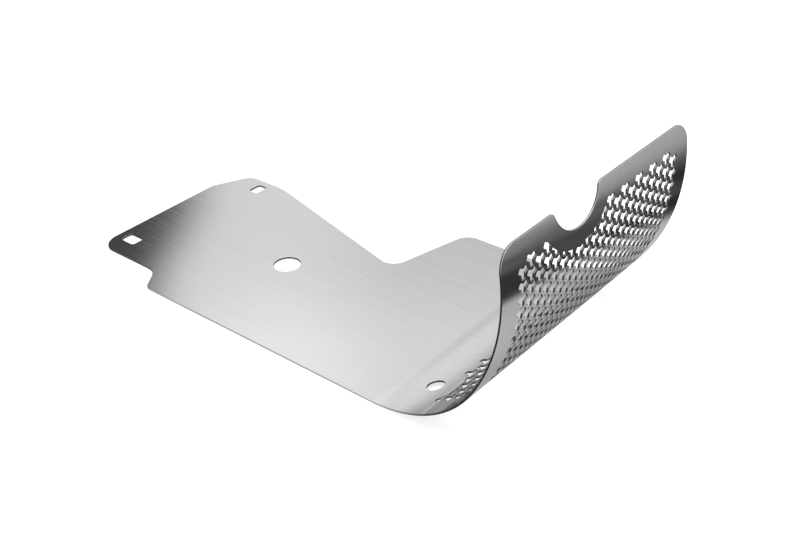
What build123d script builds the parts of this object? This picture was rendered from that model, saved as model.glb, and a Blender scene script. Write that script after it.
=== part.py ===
from build123d import *
import os
from math import cos, hypot, radians, sin, sqrt

# Motorcycle skid plate: one folded steel sheet, millimetres.
# X runs forward to the rolled front, Y to the machine's left, Z up.
# Worked from the bend line, where the roll begins, and moved at the end so that the origin
# lies on the underside, at mid-width and half the overall length.

SHEET = 1.5
WIDTH = 214.0
FLAT_LENGTH = 326.0

# Rolled front: two tangent bends, inside radii
LOW_RADIUS = 100.0
LOW_ANGLE = 56.8
HIGH_RADIUS = 147.8
HIGH_ANGLE = 44.9
TOP_CORNER = 15.0

# Tail outline, in from each side of the full width
RIGHT_INSET = 20.3
RIGHT_STEP_REAR = 71.3
RIGHT_STEP_RUN = 14.1
RIGHT_STEP_INNER = 15.0
RIGHT_STEP_OUTER = 8.0
RIGHT_REAR_CORNER = 16.5
LEFT_INSET = 32.8
LEFT_CHAMFER_LONG = 33.0
LEFT_CHAMFER_SHORT = 17.0
LEFT_CHAMFER_REAR_ROUND = 15.0
LEFT_CHAMFER_SIDE_ROUND = 12.0
LEFT_STRIP_END = 58.0
LEFT_STRIP_ROUND = 60.0
LEFT_WAIST_X = -101.5
LEFT_WAIST_Y = 31.0
LEFT_WAIST_ROUND = 13.0
LEFT_WING_X = -82.7
LEFT_WING_ROUND = 14.0

# Holes in the flat, (x, y) from the bend line and mid-width
LEFT_SLOT = (-286.5, 60.6)
LEFT_SLOT_SIZE = (10.0, 13.0)
RIGHT_SLOT = (-310.0, -65.2)
RIGHT_SLOT_SIZE = (16.0, 11.5)
SLOT_CORNER = 2.5
DRAIN = (-172.8, -15.6)
DRAIN_RADIUS = 11.1

# Bolt hole low on the roll, at a length along the sheet from the bend line
BOLT_ALONG = 27.5
BOLT_Y = -71.0
BOLT_RADIUS = 6.6
BOLT_CLEAR = 21.7

# Notch in the top edge, a circle centred above the edge
NOTCH_Y = -26.5
NOTCH_RADIUS = 25.0
NOTCH_RISE = 4.7
NOTCH_ROUND = 4.5
NOTCH_CLEAR = 38.3

# Perforation: three-cornered cut-outs on a hexagonal lattice, each with one corner down
PITCH = 10.0
ROWS = 32
COLUMNS = 21
TOP_MARGIN = 17.9
FIELD_Y = 0.9
REACH = 5.4
CORNER_ANGLES = (30, 150, 270)
SMALLEST_CUT = 5.0

# Reach of the cutters to each side of the sheet
CUT = 2.0
EDGE_TOLERANCE = 1e-5

low_mid = LOW_RADIUS + SHEET / 2
high_mid = HIGH_RADIUS + SHEET / 2
low_length = low_mid * radians(LOW_ANGLE)
roll_length = low_length + high_mid * radians(HIGH_ANGLE)


def on_roll(along):
    """Point on the middle of the sheet and its slope, at a length along the roll."""
    turn = min(along, low_length) / low_mid
    x = low_mid * sin(turn)
    z = SHEET / 2 + low_mid * (1 - cos(turn))
    more = max(along - low_length, 0) / high_mid
    x += high_mid * (sin(turn + more) - sin(turn))
    z += high_mid * (cos(turn) - cos(turn + more))
    return x, z, turn + more


def sheet_plane(along):
    """Plane in the sheet: its x across the width, its y up the roll, its z out of the front."""
    x, z, slope = on_roll(along)
    return Plane((x, 0, z), x_dir=(0, 1, 0), z_dir=(sin(slope), 0, -cos(slope)))


def through(plane, sketch):
    """Cutter that passes right through the sheet, square to it."""
    return extrude(plane.offset(-CUT) * sketch, 2 * CUT)


def rounded(points_and_radii):
    """Closed outline with each corner rounded to its own radius."""
    face = make_face(Polyline(*[p for p, _ in points_and_radii], close=True))
    for point, radius in points_and_radii:
        if radius:
            corner = face.vertices().sort_by_distance((point[0], point[1], 0))[0]
            face = fillet(corner, radius)
    return face


def bent_strip():
    """Full-width strip: the flat and the two bends."""
    low_centre = SHEET + LOW_RADIUS
    turn = radians(LOW_ANGLE)
    high_x = (LOW_RADIUS - HIGH_RADIUS) * sin(turn)
    high_z = low_centre - (LOW_RADIUS - HIGH_RADIUS) * cos(turn)
    end = turn + radians(HIGH_ANGLE)

    def bend_point(cx, cz, radius, angle):
        return (cx + radius * sin(angle), cz - radius * cos(angle))

    def face_points(offset):
        low = LOW_RADIUS + offset
        high = HIGH_RADIUS + offset
        return (
            (-FLAT_LENGTH, SHEET - offset),
            (0, SHEET - offset),
            bend_point(0, low_centre, low, turn / 2),
            bend_point(0, low_centre, low, turn),
            bend_point(high_x, high_z, high, (turn + end) / 2),
            bend_point(high_x, high_z, high, end),
        )

    out = face_points(SHEET)
    inn = face_points(0)
    edges = [
        Line(out[0], out[1]),
        ThreePointArc(out[1], out[2], out[3]),
        ThreePointArc(out[3], out[4], out[5]),
        Line(out[5], inn[5]),
        ThreePointArc(inn[5], inn[4], inn[3]),
        ThreePointArc(inn[3], inn[2], inn[1]),
        Line(inn[1], inn[0]),
        Line(inn[0], out[0]),
    ]
    section = Plane.XZ * make_face(edges)
    return extrude(section, WIDTH / 2, both=True)


def plan_outline():
    """Outline of the flat seen from above, open at full width towards the roll."""
    rear = -FLAT_LENGTH
    front = 2 * LOW_RADIUS
    right = -WIDTH / 2
    left = WIDTH / 2
    step = rear + RIGHT_STEP_REAR
    return rounded([
        ((front, right), 0),
        ((step + RIGHT_STEP_RUN, right), RIGHT_STEP_OUTER),
        ((step, right + RIGHT_INSET), RIGHT_STEP_INNER),
        ((rear, right + RIGHT_INSET), RIGHT_REAR_CORNER),
        ((rear, left - LEFT_INSET - LEFT_CHAMFER_LONG), LEFT_CHAMFER_REAR_ROUND),
        ((rear + LEFT_CHAMFER_SHORT, left - LEFT_INSET), LEFT_CHAMFER_SIDE_ROUND),
        ((rear + LEFT_STRIP_END, left - LEFT_INSET), LEFT_STRIP_ROUND),
        ((LEFT_WAIST_X, LEFT_WAIST_Y), LEFT_WAIST_ROUND),
        ((LEFT_WING_X, left), LEFT_WING_ROUND),
        ((front, left), 0),
    ])


def slot(place, size):
    return Pos(*place) * extrude(RectangleRounded(*size, SLOT_CORNER), CUT, both=True)


def top_edge_waste():
    """What the top edge loses: the sheet beyond the rounded corners and the notch."""
    depth = NOTCH_RADIUS - NOTCH_RISE + 1
    plane = sheet_plane(roll_length - depth / 2)
    top = depth / 2
    half = WIDTH / 2
    side = sqrt(NOTCH_RADIUS**2 - NOTCH_RISE**2)
    start = NOTCH_Y - side
    stop = NOTCH_Y + side
    low = top - 2 * NOTCH_RADIUS
    edges = [
        Line((-half, low), (half, low)),
        Line((half, low), (half, top)),
        Line((half, top), (stop, top)),
        ThreePointArc((stop, top), (NOTCH_Y, top + NOTCH_RISE - NOTCH_RADIUS), (start, top)),
        Line((start, top), (-half, top)),
        Line((-half, top), (-half, low)),
    ]
    kept = make_face(edges)
    for x, radius in ((-half, TOP_CORNER), (start, NOTCH_ROUND), (stop, NOTCH_ROUND), (half, TOP_CORNER)):
        corner = kept.vertices().sort_by_distance((x, top, 0))[0]
        kept = fillet(corner, radius)
    margin = 5
    frame = Pos(0, (low + top) / 2 + margin) * Rectangle(WIDTH + 2 * margin, top - low + 2 * margin)
    return through(plane, frame - kept)


def perforation():
    """Cutters for the lattice, trimmed around the notch and the bolt hole."""
    corners = [(REACH * cos(radians(a)), REACH * sin(radians(a))) for a in CORNER_ANGLES]
    cut_out = make_face(Polyline(*corners, close=True))
    column = PITCH * sqrt(3) / 2
    row_step = PITCH / 2
    clear = (
        (NOTCH_Y, roll_length + NOTCH_RISE, NOTCH_CLEAR),
        (BOLT_Y, BOLT_ALONG, BOLT_CLEAR),
    )
    cutters = []
    for row in range(ROWS):
        along = roll_length - TOP_MARGIN - row * row_step
        plane = sheet_plane(along)
        for place in range(1 - row % 2, COLUMNS, 2):
            y = FIELD_Y + (place - (COLUMNS - 1) / 2) * column
            shape = Pos(y, 0) * cut_out
            for clear_y, clear_along, radius in clear:
                if hypot(clear_y - y, clear_along - along) < radius + REACH:
                    shape = shape - Pos(clear_y, clear_along - along) * Circle(radius)
            for face in shape.faces():
                if face.area > SMALLEST_CUT:
                    cutters.append(through(plane, face))
    return cutters


def round_holes_and_slots():
    return [
        slot(LEFT_SLOT, LEFT_SLOT_SIZE),
        slot(RIGHT_SLOT, RIGHT_SLOT_SIZE),
        Pos(*DRAIN) * Cylinder(DRAIN_RADIUS, 2 * CUT),
        through(sheet_plane(BOLT_ALONG), Pos(BOLT_Y, 0) * Circle(BOLT_RADIUS)),
    ]


blank = bent_strip() & extrude(plan_outline(), 4 * LOW_RADIUS, both=True)
plate = blank - top_edge_waste()
plate = plate - perforation()
# Each edge of a cut-out becomes one plain span, which facets to a single straight line
plate = plate.solids()[0].to_splines(tolerance=EDGE_TOLERANCE).fix()
plate = (plate - round_holes_and_slots()).solids()[0]

nose = HIGH_RADIUS + SHEET - (HIGH_RADIUS - LOW_RADIUS) * sin(radians(LOW_ANGLE))
plate = Pos((FLAT_LENGTH - nose) / 2, 0, 0) * plate

os.makedirs("parts", exist_ok=True)
export_step(plate, "parts/skid_plate.step")
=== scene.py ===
from math import acos, atan2, ceil, cos, hypot, pi, radians, sin, sqrt, tan

import bpy
import numpy as np
from mathutils import Matrix, Vector
from mathutils.geometry import delaunay_2d_cdt


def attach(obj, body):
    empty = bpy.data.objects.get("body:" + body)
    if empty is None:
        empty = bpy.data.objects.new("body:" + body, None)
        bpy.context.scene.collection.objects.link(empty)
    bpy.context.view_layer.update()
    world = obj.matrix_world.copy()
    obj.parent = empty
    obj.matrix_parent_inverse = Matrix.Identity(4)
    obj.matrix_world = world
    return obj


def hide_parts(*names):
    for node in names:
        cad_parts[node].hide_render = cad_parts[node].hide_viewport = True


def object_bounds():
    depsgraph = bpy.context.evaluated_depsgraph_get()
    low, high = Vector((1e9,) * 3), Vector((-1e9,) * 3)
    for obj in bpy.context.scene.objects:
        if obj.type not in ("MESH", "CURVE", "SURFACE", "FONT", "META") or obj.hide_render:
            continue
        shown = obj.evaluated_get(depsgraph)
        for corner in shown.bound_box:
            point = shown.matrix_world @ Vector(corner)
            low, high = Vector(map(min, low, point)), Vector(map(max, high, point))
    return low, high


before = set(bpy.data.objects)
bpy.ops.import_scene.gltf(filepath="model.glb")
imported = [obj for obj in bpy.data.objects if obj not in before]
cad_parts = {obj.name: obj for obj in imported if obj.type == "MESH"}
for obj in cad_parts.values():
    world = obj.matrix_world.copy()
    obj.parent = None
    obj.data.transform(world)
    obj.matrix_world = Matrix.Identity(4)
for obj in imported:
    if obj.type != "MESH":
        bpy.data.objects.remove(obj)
cad_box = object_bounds()

# Sizes of the folded sheet in millimetres, as in the part's source.
# The pattern is the sheet rolled out: along runs forward from the bend line, y to the left.
SHEET = 1.5
WIDTH = 214.0
FLAT_LENGTH = 326.0

# Rolled front: two tangent bends, inside radii
LOW_RADIUS = 100.0
LOW_ANGLE = 56.8
HIGH_RADIUS = 147.8
HIGH_ANGLE = 44.9
TOP_CORNER = 15.0

# Tail outline, in from each side of the full width
RIGHT_INSET = 20.3
RIGHT_STEP_REAR = 71.3
RIGHT_STEP_RUN = 14.1
RIGHT_STEP_INNER = 15.0
RIGHT_STEP_OUTER = 8.0
RIGHT_REAR_CORNER = 16.5
LEFT_INSET = 32.8
LEFT_CHAMFER_LONG = 33.0
LEFT_CHAMFER_SHORT = 17.0
LEFT_CHAMFER_REAR_ROUND = 15.0
LEFT_CHAMFER_SIDE_ROUND = 12.0
LEFT_STRIP_END = 58.0
LEFT_STRIP_ROUND = 60.0
LEFT_WAIST = (-101.5, 31.0)
LEFT_WAIST_ROUND = 13.0
LEFT_WING = -82.7
LEFT_WING_ROUND = 14.0

# Slots and round holes, by their centres in the pattern
LEFT_SLOT = (-286.5, 60.6)
LEFT_SLOT_SIZE = (10.0, 13.0)
RIGHT_SLOT = (-310.0, -65.2)
RIGHT_SLOT_SIZE = (16.0, 11.5)
SLOT_CORNER = 2.5
DRAIN = (-172.8, -15.6)
DRAIN_RADIUS = 11.1
BOLT = (27.5, -71.0)
BOLT_RADIUS = 6.6
BOLT_CLEAR = 21.7

# Notch in the top edge, a circle centred above the edge
NOTCH_Y = -26.5
NOTCH_RADIUS = 25.0
NOTCH_RISE = 4.7
NOTCH_ROUND = 4.5
NOTCH_CLEAR = 38.3

# Perforation: three-armed holes on a hexagonal lattice, each with one arm towards the flat
PITCH = 10.0
ROWS = 32
COLUMNS = 21
TOP_MARGIN = 17.9
FIELD_Y = 0.9
SMALLEST_CUT = 5.0
ARM_LENGTH = 5.0
ARM_END_WIDTH = 3.8
ARM_ANGLES = (30, 150, 270)
ARM_END_ROUND = 0.9
ROOT_TURN = 60
ROOT_REACH = 2.3
ROOT_ROUND = 0.5

# Broken edges: rounder along the outline, sharper in the holes
OUTLINE_BREAK = 0.25
HOLE_BREAK = 0.15

# Longest straight pieces of the curves: outline, bite, drain hole, small curves, bolt hole, arms
OUTLINE_CHORD = 1.5
BITE_CHORD = 1.2
DRAIN_CHORD = 0.8
SMALL_CHORD = 0.6
BOLT_CHORD = 0.5
ARM_CHORD = 0.45

# Spacing of the mesh along the roll, and how far its inner points keep from the cuts
ROLL_STEP = 3.0
FILL_START = -12.0
FILL_COLUMNS = 36
FILL_TOP_GAP = 2.0
FILL_SIDE_GAP = 3.0
FILL_HOLE_GAP = 6.5
FILL_ROUND_GAP = 1.5
FILL_CORNER_REACH = 20.0
FILL_CORNER_GAP = 12.0
MERGE_DISTANCE = 1e-7

# Millimetres to a metre, and to one unit of the chart that carries the brush lines
METRE = 1000
CHART_UNIT = 100

low_mid = LOW_RADIUS + SHEET / 2
high_mid = HIGH_RADIUS + SHEET / 2
low_length = low_mid * radians(LOW_ANGLE)
roll_length = low_length + high_mid * radians(HIGH_ANGLE)
bend_line_x = cad_box[0].x * METRE + FLAT_LENGTH
notch_centre = (roll_length + NOTCH_RISE, NOTCH_Y)


def on_sheet(along):
    """Point on the middle of the sheet, in millimetres, and its slope, for an array of lengths."""
    turn = np.clip(along, 0, low_length) / low_mid
    more = np.maximum(along - low_length, 0) / high_mid
    x = bend_line_x + np.minimum(along, 0) + low_mid * np.sin(turn)
    x = x + high_mid * (np.sin(turn + more) - np.sin(turn))
    z = SHEET / 2 + low_mid * (1 - np.cos(turn))
    z = z + high_mid * (np.cos(turn) - np.cos(turn + more))
    return x, z, turn + more


def outward(along):
    """Unit normal of the sheet, out of its underside and front."""
    slope = on_sheet(along)[2]
    return np.stack([np.sin(slope), np.zeros_like(slope), -np.cos(slope)], axis=-1)


def placed(pattern, offset):
    """Pattern points set in space, in metres, moved out of the front by an offset."""
    x, z, _ = on_sheet(pattern[:, 0])
    middle = np.stack([x, pattern[:, 1], z], axis=-1)
    return (middle + offset * outward(pattern[:, 0])) / METRE


def arc(centre, radius, start, stop, chord):
    """Points on an arc, ends included, from one angle to another."""
    count = max(2, ceil(abs(stop - start) * radius / chord))
    angles = np.linspace(start, stop, count + 1)
    return [(centre[0] + radius * cos(a), centre[1] + radius * sin(a)) for a in angles]


def rounded(corners, chord):
    """Closed outline from (along, y, radius) corners."""
    points = []
    for i, (x, y, radius) in enumerate(corners):
        before = Vector(corners[i - 1][:2])
        after = Vector(corners[(i + 1) % len(corners)][:2])
        here = Vector((x, y))
        if radius == 0:
            points.append((x, y))
            continue
        back = (before - here).normalized()
        ahead = (after - here).normalized()
        half = acos(max(-1.0, min(1.0, back.dot(ahead)))) / 2
        centre = here + (back + ahead).normalized() * radius / sin(half)
        first = here + back * radius / tan(half) - centre
        last = here + ahead * radius / tan(half) - centre
        start = atan2(first.y, first.x)
        sweep = (atan2(last.y, last.x) - start + pi) % (2 * pi) - pi
        points += arc(centre, radius, start, start + sweep, chord)
    return points


def circle(centre, radius, chord):
    return arc(centre, radius, 0, 2 * pi, chord)[:-1]


def slot(centre, size):
    x, y = centre
    w, h = size[0] / 2, size[1] / 2
    corners = ((x - w, y - h), (x + w, y - h), (x + w, y + h), (x - w, y + h))
    return rounded([(*corner, SLOT_CORNER) for corner in corners], SMALL_CHORD)


def notch_outline():
    """The bite in the top edge and its softened corners, from left to right."""
    drop = NOTCH_RISE + NOTCH_ROUND
    across = sqrt((NOTCH_RADIUS + NOTCH_ROUND) ** 2 - drop ** 2)
    tilt = atan2(across, drop)
    level = roll_length - NOTCH_ROUND
    left = arc((level, NOTCH_Y + across), NOTCH_ROUND, 0, -tilt, SMALL_CHORD)
    bite = arc(notch_centre, NOTCH_RADIUS, pi - tilt, pi + tilt, BITE_CHORD)
    right = arc((level, NOTCH_Y - across), NOTCH_ROUND, tilt, 0, SMALL_CHORD)
    return left + bite[1:-1] + right


def stepped(start, end):
    """Points after a start up to an end, close enough together where the sheet is rolled."""
    rolled = max(start[0], end[0]) > 0
    count = max(1, ceil(abs(end[0] - start[0]) / ROLL_STEP)) if rolled else 1
    return [tuple(Vector(start).lerp(Vector(end), (i + 1) / count)) for i in range(count)]


def outline():
    """The cut edge of the rolled-out sheet, anticlockwise with along to the right and y up."""
    rear = -FLAT_LENGTH
    half = WIDTH / 2
    step = rear + RIGHT_STEP_REAR
    tail_right = -half + RIGHT_INSET
    tail_left = half - LEFT_INSET
    top = roll_length
    loop = rounded([
        (top, NOTCH_Y, 0),
        (top, half, TOP_CORNER),
        (LEFT_WING, half, LEFT_WING_ROUND),
        (*LEFT_WAIST, LEFT_WAIST_ROUND),
        (rear + LEFT_STRIP_END, tail_left, LEFT_STRIP_ROUND),
        (rear + LEFT_CHAMFER_SHORT, tail_left, LEFT_CHAMFER_SIDE_ROUND),
        (rear, tail_left - LEFT_CHAMFER_LONG, LEFT_CHAMFER_REAR_ROUND),
        (rear, tail_right, RIGHT_REAR_CORNER),
        (step, tail_right, RIGHT_STEP_INNER),
        (step + RIGHT_STEP_RUN, -half, RIGHT_STEP_OUTER),
        (top, -half, TOP_CORNER),
    ], OUTLINE_CHORD)
    loop = list(reversed(notch_outline())) + loop[1:]
    return [p for i in range(len(loop)) for p in stepped(loop[i - 1], loop[i])]


def three_arms():
    """One perforation about its own centre, as (along, y) with the third arm towards the flat."""
    corners = []
    for angle in ARM_ANGLES:
        a = radians(angle)
        for side in (-1, 1):
            y = ARM_LENGTH * cos(a) - side * ARM_END_WIDTH / 2 * sin(a)
            along = ARM_LENGTH * sin(a) + side * ARM_END_WIDTH / 2 * cos(a)
            corners.append((along, y, ARM_END_ROUND))
        root = a + radians(ROOT_TURN)
        corners.append((ROOT_REACH * sin(root), ROOT_REACH * cos(root), ROOT_ROUND))
    return rounded(corners, ARM_CHORD)


def area(loop):
    """Area of a loop, above zero where it runs anticlockwise."""
    p = np.asarray(loop)
    q = np.roll(p, -1, axis=0)
    return 0.5 * float(np.sum(p[:, 0] * q[:, 1] - q[:, 0] * p[:, 1]))


def trimmed(loop, centre, radius):
    """What a loop keeps outside a circle, one closed piece per run of points."""
    gap = [hypot(x - centre[0], y - centre[1]) - radius for x, y in loop]
    if min(gap) > 0:
        return [loop]
    n = len(loop)
    starts = [i for i in range(n) if gap[i] > 0 and gap[i - 1] <= 0]
    pieces = []
    for i in starts:
        run = []
        k = i
        while gap[k % n] > 0:
            run.append(loop[k % n])
            k += 1
        ends = []
        for inner, outer in ((i - 1, i), (k % n, (k - 1) % n)):
            share = gap[outer] / (gap[outer] - gap[inner])
            ends.append(Vector(loop[outer]).lerp(Vector(loop[inner]), share))
        enter, leave = (atan2(e.y - centre[1], e.x - centre[0]) for e in ends)
        sweep = (enter - leave + pi) % (2 * pi) - pi
        piece = run + arc(centre, radius, leave, leave + sweep, SMALL_CHORD)
        if abs(area(piece)) > SMALLEST_CUT:
            pieces.append(piece)
    return pieces


def perforation():
    """All the three-armed holes, trimmed around the notch and the bolt hole, and their centres."""
    arms = three_arms()
    column = PITCH * sqrt(3) / 2
    holes, centres = [], []
    for row in range(ROWS):
        along = roll_length - TOP_MARGIN - row * PITCH / 2
        for place in range(1 - row % 2, COLUMNS, 2):
            y = FIELD_Y + (place - (COLUMNS - 1) / 2) * column
            pieces = [[(along + a, y + b) for a, b in arms]]
            for centre, radius in ((notch_centre, NOTCH_CLEAR), (BOLT, BOLT_CLEAR)):
                pieces = [kept for piece in pieces for kept in trimmed(piece, centre, radius)]
            holes += pieces
            if pieces:
                centres.append((along, y))
    return holes, np.array(centres)


def fill_points(centres):
    """Inner points that let the solid margins follow the bend."""
    half = WIDTH / 2
    alongs = np.arange(FILL_START, roll_length - FILL_TOP_GAP, ROLL_STEP)
    ys = np.linspace(FILL_SIDE_GAP - half, half - FILL_SIDE_GAP, FILL_COLUMNS)
    grid = np.array([(a, y) for a in alongs for y in ys])

    def away(points):
        return np.hypot(*(grid[:, None] - np.atleast_2d(points)[None]).transpose(2, 0, 1)).min(axis=1)

    kept = away(centres) > FILL_HOLE_GAP
    kept &= away(BOLT) > BOLT_RADIUS + FILL_ROUND_GAP
    kept &= away(notch_centre) > NOTCH_RADIUS + FILL_ROUND_GAP
    from_top = np.minimum(roll_length - grid[:, 0], FILL_CORNER_REACH)
    from_side = np.minimum(half - abs(grid[:, 1]), FILL_CORNER_REACH)
    kept &= (from_top + from_side > FILL_CORNER_GAP) | (grid[:, 0] < roll_length - TOP_CORNER)
    return grid[kept]


def inside(point, loop):
    """Whether a point lies inside a loop, by the edges that it has to one side."""
    x, y = point
    hit = False
    for i in range(len(loop)):
        x0, y0 = loop[i - 1]
        x1, y1 = loop[i]
        if (y0 > y) != (y1 > y) and x < x0 + (y - y0) / (y1 - y0) * (x1 - x0):
            hit = not hit
    return hit


def into_metal(loop):
    """Unit directions from each point of a loop into the metal, which lies on its left."""
    step = np.roll(loop, -1, axis=0) - loop
    normal = np.stack([-step[:, 1], step[:, 0]], axis=-1)
    normal /= np.linalg.norm(normal, axis=1, keepdims=True)
    both = normal + np.roll(normal, 1, axis=0)
    return both / np.linalg.norm(both, axis=1, keepdims=True)


def sheet_triangles(loops, extra):
    """Triangles of the rolled-out sheet between its outline, which is the first loop, and its holes."""
    points, edges, owner = [], [], []
    for k, loop in enumerate(loops):
        base = len(points)
        points += [Vector(p) for p in loop]
        edges += [(base + i, base + (i + 1) % len(loop)) for i in range(len(loop))]
        owner += [k] * len(loop)
    points += [Vector(p) for p in extra]
    owner += [-1] * len(extra)
    _, _, faces, origin, _, _ = delaunay_2d_cdt(points, edges, [], 0, MERGE_DISTANCE)
    first = [o[0] for o in origin]
    kept = []
    for face in faces:
        corners = [first[v] for v in face]
        owners = {owner[v] for v in corners}
        if len(owners) == 1 and -1 not in owners:
            middle = sum((points[v] for v in corners), Vector((0, 0))) / 3
            k = owners.pop()
            if inside(middle, loops[k]) != (k == 0):
                continue
        kept.append(corners)
    return np.array([tuple(p) for p in points]), np.array(kept)


def in_scene(name, data):
    """A new object for a mesh, a lamp or a camera, put into the scene."""
    made = bpy.data.objects.new(name, data)
    bpy.context.scene.collection.objects.link(made)
    return made


# Steel of the cut walls, its dark tone partly duller cut steel and partly painted shade, and the share of
# the way over a broken edge where it begins
CUT_TONE_AND_SHADE = 0.23
CUT_ROUGHNESS = 0.38
CUT_STARTS = 0.8


def build_plate():
    """The whole sheet as one mesh: two faces, cut walls and a broken edge along every cut."""
    holes, centres = perforation()
    cuts = [slot(LEFT_SLOT, LEFT_SLOT_SIZE), slot(RIGHT_SLOT, RIGHT_SLOT_SIZE)]
    cuts += [circle(DRAIN, DRAIN_RADIUS, DRAIN_CHORD), circle(BOLT, BOLT_RADIUS, BOLT_CHORD)]
    walls = [np.array(outline())]
    for hole in cuts + holes:
        walls.append(np.array(hole if area(hole) < 0 else hole[::-1]))
    inward = [into_metal(w) for w in walls]
    breaks = [OUTLINE_BREAK] + [HOLE_BREAK] * (len(walls) - 1)
    rims = [w + b * m for w, m, b in zip(walls, inward, breaks)]
    pattern, triangles = sheet_triangles([[tuple(p) for p in r] for r in rims], fill_points(centres))

    # Four levels from the front to the inside: a face, the two ends of the walls and a face
    half = SHEET / 2
    wall = np.vstack(walls)
    ease = np.repeat(breaks, [len(w) for w in walls])[:, None]
    away = -np.vstack(inward)
    slope = on_sheet(wall[:, 0])[2]
    wall_normal = np.stack([away[:, 0] * np.cos(slope), away[:, 1], away[:, 0] * np.sin(slope)], axis=-1)
    front = outward(pattern[:, 0])
    points = np.vstack([
        placed(pattern, half),
        placed(wall, half - ease),
        placed(wall, ease - half),
        placed(pattern, -half),
    ])
    normals = np.vstack([front, wall_normal, wall_normal, -front])
    charts = np.vstack([pattern, wall, wall, pattern])
    n, m = len(pattern), len(wall)
    starts = (0, n, n + m, n + 2 * m)
    rim = np.zeros(n)
    rim[len(walls[0]):m] = CUT_STARTS
    cut = np.concatenate([rim, np.ones(2 * m), rim])

    faces = [tuple(t[::-1]) for t in triangles.tolist()]
    faces += [tuple(v + starts[3] for v in t) for t in triangles.tolist()]
    base = 0
    for loop in walls:
        count = len(loop)
        for i in range(count):
            here, ahead = base + i, base + (i + 1) % count
            for lower, upper in zip(starts[:-1], starts[1:]):
                faces.append((here + lower, ahead + lower, ahead + upper, here + upper))
        base += count

    mesh = bpy.data.meshes.new("skid_plate_sheet")
    mesh.from_pydata(points.tolist(), [], faces)
    mesh.polygons.foreach_set("use_smooth", [True] * len(mesh.polygons))
    corner = np.empty(len(mesh.loops), dtype=np.int32)
    mesh.loops.foreach_get("vertex_index", corner)
    chart = mesh.uv_layers.new(name="rolled_out")
    chart.uv.foreach_set("vector", (charts[corner] / CHART_UNIT).astype(np.float32).ravel())
    mesh.attributes.new("cut", "FLOAT", "POINT").data.foreach_set("value", cut)
    mesh.normals_split_custom_set(normals[corner].tolist())
    mesh.validate()
    return in_scene("skid_plate_sheet", mesh)


def grey(level):
    return (level, level, level, 1)


def node(tree, kind, **values):
    made = tree.nodes.new(kind)
    for name, value in values.items():
        setattr(made, name, value)
    return made


def put(tree, given, socket):
    """Links an output into a socket, or sets the socket's own value."""
    if hasattr(given, "is_output"):
        tree.links.new(given, socket)
    else:
        socket.default_value = given


def mixed(tree, kind, factor, first, second, blend="MIX"):
    """One value or colour fading into another."""
    made = node(tree, "ShaderNodeMix", data_type=kind, blend_type=blend)
    put(tree, factor, made.inputs["Factor"])
    sockets = [i for i in made.inputs if i.name in ("A", "B") and i.enabled]
    for socket, given in zip(sockets, (first, second)):
        put(tree, given, socket)
    return next(o for o in made.outputs if o.enabled)


def product(tree, first, second):
    return mixed(tree, "RGBA", 1.0, first, second, "MULTIPLY")


def calculated(tree, operation, *values):
    made = node(tree, "ShaderNodeMath", operation=operation)
    for given, socket in zip(values, made.inputs):
        put(tree, given, socket)
    return made.outputs["Value"]


def spread(tree, value, span, levels=(0.0, 1.0)):
    """A value's span stretched over other levels."""
    made = node(tree, "ShaderNodeMapRange")
    for name, level in zip(("From Min", "From Max", "To Min", "To Max"), (*span, *levels)):
        made.inputs[name].default_value = level
    put(tree, value, made.inputs["Value"])
    return made.outputs["Result"]


def ramp(tree, value, stops):
    """Grey levels at places from nought to one, with even slopes between them."""
    made = node(tree, "ShaderNodeValToRGB")
    elements = made.color_ramp.elements
    while len(elements) < len(stops):
        elements.new(1.0)
    for element, (place, level) in zip(elements, stops):
        element.position = place
        element.color = grey(level)
    put(tree, value, made.inputs["Fac"])
    return made.outputs["Color"]


def split(tree, vector):
    """The three parts of a vector."""
    made = node(tree, "ShaderNodeSeparateXYZ")
    put(tree, vector, made.inputs["Vector"])
    return made.outputs["X"], made.outputs["Y"], made.outputs["Z"]


def glow(tree, colour, kind="ShaderNodeEmission"):
    made = node(tree, kind)
    put(tree, colour, made.inputs["Color"])
    return made.outputs[0]


def added(tree, first, second):
    made = node(tree, "ShaderNodeAddShader")
    put(tree, first, made.inputs[0])
    put(tree, second, made.inputs[1])
    return made.outputs["Shader"]


def camera_sees(tree, mirrored, seen):
    """One shader for what the steel mirrors and another for what the camera sees."""
    pick = node(tree, "ShaderNodeMixShader")
    put(tree, node(tree, "ShaderNodeLightPath").outputs["Is Camera Ray"], pick.inputs["Fac"])
    put(tree, mirrored, pick.inputs[1])
    put(tree, seen, pick.inputs[2])
    return pick.outputs["Shader"]


# Brush lines: how many to ten centimetres of width, and the detail of their noise
FINE_LINES = (330.0, 4.0)
BROAD_LINES = (45.0, 5.0)
BROAD_SHARE = 0.55
LINE_ROUGHNESS = 0.6
# Part of the noise that is spread over the steel's tones and roughness
LINE_SPAN = (0.3, 0.7)
STEEL_TONES = (0.618, 0.702)
STEEL_ROUGHNESS = (0.085, 0.125)
LINE_BUMP = 0.01
LINE_DEPTH = 0.0002
ANISOTROPY = 0.4
ANISOTROPY_TURN = 0.25
# Share of the mirrored light left at grazing angles
GRAZING = 0.72


def brush_lines(tree, chart, lines):
    """Noise drawn out along the sheet."""
    across, detail = lines
    stretch = node(tree, "ShaderNodeMapping")
    stretch.inputs["Scale"].default_value = (1.0, across, 1.0)
    put(tree, chart, stretch.inputs["Vector"])
    noise = node(tree, "ShaderNodeTexNoise")
    noise.inputs["Scale"].default_value = 1.0
    noise.inputs["Detail"].default_value = detail
    noise.inputs["Roughness"].default_value = LINE_ROUGHNESS
    put(tree, stretch.outputs["Vector"], noise.inputs["Vector"])
    return noise.outputs["Fac"]


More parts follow.
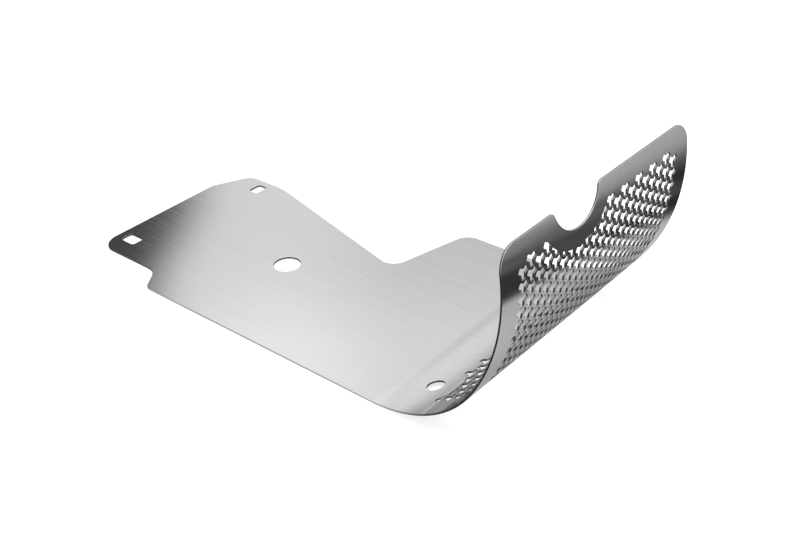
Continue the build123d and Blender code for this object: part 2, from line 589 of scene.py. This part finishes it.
def brushed_steel():
    """Bright steel with fine brush lines along the sheet, and darker steel where it is cut: partly duller
    cut steel, partly painted shade.
    """
    material = bpy.data.materials.new("brushed_steel")
    material.use_nodes = True
    tree = material.node_tree
    shader = tree.nodes["Principled BSDF"]
    chart = node(tree, "ShaderNodeUVMap", uv_map="rolled_out").outputs["UV"]
    cut = node(tree, "ShaderNodeAttribute", attribute_name="cut").outputs["Fac"]
    cut = ramp(tree, cut, ((CUT_STARTS, 0.0), (1.0, 1.0)))
    fine = brush_lines(tree, chart, FINE_LINES)
    broad = brush_lines(tree, chart, BROAD_LINES)
    lines = spread(tree, mixed(tree, "FLOAT", BROAD_SHARE, fine, broad), LINE_SPAN)
    steel = mixed(tree, "RGBA", lines, *(grey(tone) for tone in STEEL_TONES))
    rough = spread(tree, broad, LINE_SPAN, STEEL_ROUGHNESS)
    bump = node(tree, "ShaderNodeBump")
    bump.inputs["Strength"].default_value = LINE_BUMP
    bump.inputs["Distance"].default_value = LINE_DEPTH
    put(tree, fine, bump.inputs["Height"])
    brush = node(tree, "ShaderNodeTangent", direction_type="UV_MAP", uv_map="rolled_out")
    # The cut walls' dark tone is duller cut steel and painted shade in one
    put(tree, mixed(tree, "RGBA", cut, steel, grey(CUT_TONE_AND_SHADE)), shader.inputs["Base Color"])
    put(tree, mixed(tree, "FLOAT", cut, rough, CUT_ROUGHNESS), shader.inputs["Roughness"])
    put(tree, bump.outputs["Normal"], shader.inputs["Normal"])
    put(tree, brush.outputs["Tangent"], shader.inputs["Tangent"])
    shader.inputs["Metallic"].default_value = 1.0
    shader.inputs["Specular Tint"].default_value = grey(GRAZING)
    shader.inputs["Anisotropic"].default_value = ANISOTROPY
    shader.inputs["Anisotropic Rotation"].default_value = ANISOTROPY_TURN
    return material


# Studio floor as the steel mirrors it: a white table that ends to the front left, then a dim room.
# Reach is measured in metres from the origin towards the table's edge.
TABLE_WAY = (0.86, 0.51)
TABLE = ((0.17, 0.78), (0.281, 0.6), (0.2925, 0.27), (0.2985, 0.1), (0.308, 0.025), (0.32, 0.0))
ROOM = ((0.281, 0.0), (0.302, 0.053), (0.412, 0.053), (0.495, 0.2), (0.555, 0.41), (0.65, 0.5), (0.97, 0.6))
# Share of that light left at each y in metres, on the table beside the plate and in the room
TABLE_SHADE = (
    (-0.5, 0.5),
    (-0.4, 0.08),
    (-0.118, 0.08),
    (-0.11, 2.5),
    (-0.096, 1.0),
    (0.11, 1.0),
    (0.15, 1.3),
)
ROOM_SHADE = (
    (0.12, 0.85),
    (0.165, 0.46),
    (0.178, 0.38),
    (0.205, 0.68),
    (0.28, 0.66),
    (0.36, 0.95),
    (0.45, 1.03),
)
# A faint patch of light on the room's floor, by reach and by y
PATCH = ((0.33, 0.0), (0.352, 0.065), (0.47, 0.065), (0.53, 0.0))
PATCH_ACROSS = ((0.115, 0.0), (0.14, 1.0), (0.25, 1.0), (0.285, 0.0))
# The shaded strip right under the roll, by x and by y in metres, that only shows through two holes in line
UNDER_ALONG = ((0.085, 0.0), (0.09, 1.0), (0.151, 1.0), (0.157, 0.0))
UNDER_ACROSS = ((-0.012, 0.0), (-0.006, 1.0), (0.1, 1.0), (0.107, 0.0))
# Share of the table's light that the plate keeps from the floor below it, by x and by y in metres
COVER_ALONG = ((0.0, 0.9), (0.145, 0.9), (0.165, 0.28), (0.19, 0.23), (0.22, 0.08), (0.25, 0.0))
COVER_ACROSS = ((-0.108, 0.0), (-0.1, 1.0), (0.107, 1.0), (0.13, 0.0))
# Half the width in metres that the levels across cover
ACROSS = 0.5
# To the camera: the floor's own glow in the open, a painted shadow under the roll, and the tone that takes
# the shadow
FLOOR_GLOW = 0.67
UNDER_SHADOW_GLOW = 0.05
FLOOR_TONE = 0.5
FLOOR_SIZE = 12.0
FLOOR_DROP = 0.0005


def ramp_across(tree, y, stops):
    """A ramp over y from the right to the left."""
    share = spread(tree, y, (-ACROSS, ACROSS))
    return ramp(tree, share, [(place + ACROSS, level) for place, level in stops])


def floor_material():
    """White to the camera with the plate's soft shadow; to the steel, a table and the room past its edge."""
    material = bpy.data.materials.new("floor")
    material.use_nodes = True
    tree = material.node_tree
    tree.nodes.clear()
    place = node(tree, "ShaderNodeNewGeometry").outputs["Position"]
    x, y, _ = split(tree, place)
    way = node(tree, "ShaderNodeVectorMath", operation="DOT_PRODUCT")
    way.inputs[1].default_value = (*TABLE_WAY, 0)
    put(tree, place, way.inputs[0])
    reach = way.outputs["Value"]

    cover = product(tree, ramp(tree, x, COVER_ALONG), ramp_across(tree, y, COVER_ACROSS))
    table = product(tree, ramp(tree, reach, TABLE), ramp_across(tree, y, TABLE_SHADE))
    table = mixed(tree, "RGBA", cover, table, grey(0))
    room = product(tree, ramp(tree, reach, ROOM), ramp_across(tree, y, ROOM_SHADE))
    patch = product(tree, ramp(tree, reach, PATCH), ramp_across(tree, y, PATCH_ACROSS))
    mirrored = added(tree, glow(tree, table), added(tree, glow(tree, room), glow(tree, patch)))

    # Painted shadow: the floor's glow drops to a dark level in a strip under the roll
    under = product(tree, ramp(tree, x, UNDER_ALONG), ramp_across(tree, y, UNDER_ACROSS))
    own = mixed(tree, "RGBA", under, grey(FLOOR_GLOW), grey(UNDER_SHADOW_GLOW))
    matte = node(tree, "ShaderNodeBsdfDiffuse")
    matte.inputs["Color"].default_value = grey(FLOOR_TONE)
    seen = added(tree, glow(tree, own), matte.outputs["BSDF"])
    out = node(tree, "ShaderNodeOutputMaterial")
    put(tree, camera_sees(tree, mirrored, seen), out.inputs["Surface"])
    return material


def set_floor():
    half = FLOOR_SIZE / 2
    mesh = bpy.data.meshes.new("floor")
    corners = [(-half, -half, 0), (half, -half, 0), (half, half, 0), (-half, half, 0)]
    mesh.from_pydata(corners, [], [(0, 1, 2, 3)])
    mesh.materials.append(floor_material())
    floor = in_scene("floor", mesh)
    floor.location.z = -FLOOR_DROP


# Backdrop: azimuths in degrees from +X towards +Y with its brightness there, dark past its left rear end
BACKDROP = (
    (-180, 0.064),
    (-165, 0.1),
    (-145, 0.5),
    (-50, 0.80),
    (0, 0.75),
    (30, 1.0),
    (105, 1.0),
    (118, 0.68),
    (126, 0.745),
    (131, 0.76),
    (134, 0.85),
    (137, 0.945),
    (141, 0.95),
    (144.1, 0.93),
    (145.7, 0.064),
)
# How many degrees the backdrop's end leans out of its place, against height as the sine of the elevation
BACKDROP_LEAN = (
    (0.0, -0.5),
    (0.25, 0.2),
    (0.36, 0.0),
    (0.44, 2.3),
    (0.47, 2.3),
    (0.49, 1.05),
    (0.515, -0.7),
    (0.53, -1.3),
)
LEAN_SPAN = 10.0
# Brightness against height above the horizon, as the sine of the elevation
BACKDROP_RISE = (
    (0.0, 0.66),
    (0.08, 0.82),
    (0.14, 0.92),
    (0.25, 1.06),
    (0.4, 1.12),
    (0.47, 1.06),
    (0.5, 1.05),
    (0.53, 1.09),
    (0.56, 1.22),
    (0.585, 1.36),
    (0.61, 1.31),
    (1.0, 1.0),
)
# Share of the white ceiling against height
CEILING = ((0.0, 0.0), (0.66, 0.0), (0.85, 1.0))


def set_world():
    """White to the camera; to the steel, a backdrop round the table below a white ceiling."""
    world = bpy.data.worlds.new("studio")
    bpy.context.scene.world = world
    world.use_nodes = True
    tree = world.node_tree
    tree.nodes.clear()
    x, y, height = split(tree, node(tree, "ShaderNodeTexCoord").outputs["Generated"])
    leans = ramp(tree, height, [(place, lean / LEAN_SPAN + 0.5) for place, lean in BACKDROP_LEAN])
    lean = calculated(tree, "MULTIPLY_ADD", leans, radians(LEAN_SPAN), radians(-LEAN_SPAN / 2))
    azimuth = calculated(tree, "ADD", calculated(tree, "ARCTAN2", y, x), lean)
    turn = spread(tree, azimuth, (-pi, pi))
    levels = ramp(tree, turn, [((angle + 180) / 360, level) for angle, level in BACKDROP])
    walls = product(tree, levels, ramp(tree, height, BACKDROP_RISE))
    room = mixed(tree, "RGBA", ramp(tree, height, CEILING), walls, grey(1))
    mirrored = glow(tree, room, "ShaderNodeBackground")
    seen = glow(tree, grey(1), "ShaderNodeBackground")
    out = node(tree, "ShaderNodeOutputWorld")
    put(tree, camera_sees(tree, mirrored, seen), out.inputs["Surface"])


# Lamp: width in metres, power in watts and place in metres
LAMP_SIZE = 1.6
LAMP_POWER = 14.0
LAMP_PLACE = (-0.1, 0.15, 1.5)


def set_lamp():
    """A broad soft box above, for the plate's shadow on the floor."""
    lamp = bpy.data.lights.new("soft_box", "AREA")
    lamp.shape = "SQUARE"
    lamp.size = LAMP_SIZE
    lamp.energy = LAMP_POWER
    in_scene("soft_box", lamp).location = LAMP_PLACE


# Camera in the photo's place: angles in degrees, place in metres, focal length in photo pixels
CAMERA_AZIMUTH = 41.965
CAMERA_ELEVATION = 32.039
CAMERA_ROLL = -3.165
CAMERA_PLACE = (0.5475, -0.5593, 0.5024)
CAMERA_FOCAL = 1175.1
CAMERA_NEAR = 0.01
SENSOR_WIDTH = 36.0
PHOTO_WIDTH = 800


def set_camera():
    a, e, r = (radians(v) for v in (CAMERA_AZIMUTH, CAMERA_ELEVATION, CAMERA_ROLL))
    back = Vector((sin(a) * cos(e), -cos(a) * cos(e), sin(e)))
    level = Vector((cos(a), sin(a), 0))
    upright = back.cross(level)
    right = cos(r) * level + sin(r) * upright
    up = cos(r) * upright - sin(r) * level
    camera = bpy.data.cameras.new("camera")
    camera.sensor_fit = "HORIZONTAL"
    camera.sensor_width = SENSOR_WIDTH
    camera.lens = CAMERA_FOCAL / PHOTO_WIDTH * SENSOR_WIDTH
    camera.clip_start = CAMERA_NEAR
    holder = in_scene("camera", camera)
    turned = Matrix((right, up, back)).transposed().to_4x4()
    holder.matrix_world = Matrix.Translation(CAMERA_PLACE) @ turned
    bpy.context.scene.camera = holder


plate = build_plate()
plate.data.materials.append(brushed_steel())
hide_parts("skid_plate")
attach(plate, "root")
set_floor()
set_world()
set_lamp()
set_camera()
bpy.context.scene.view_settings.view_transform = "Standard"
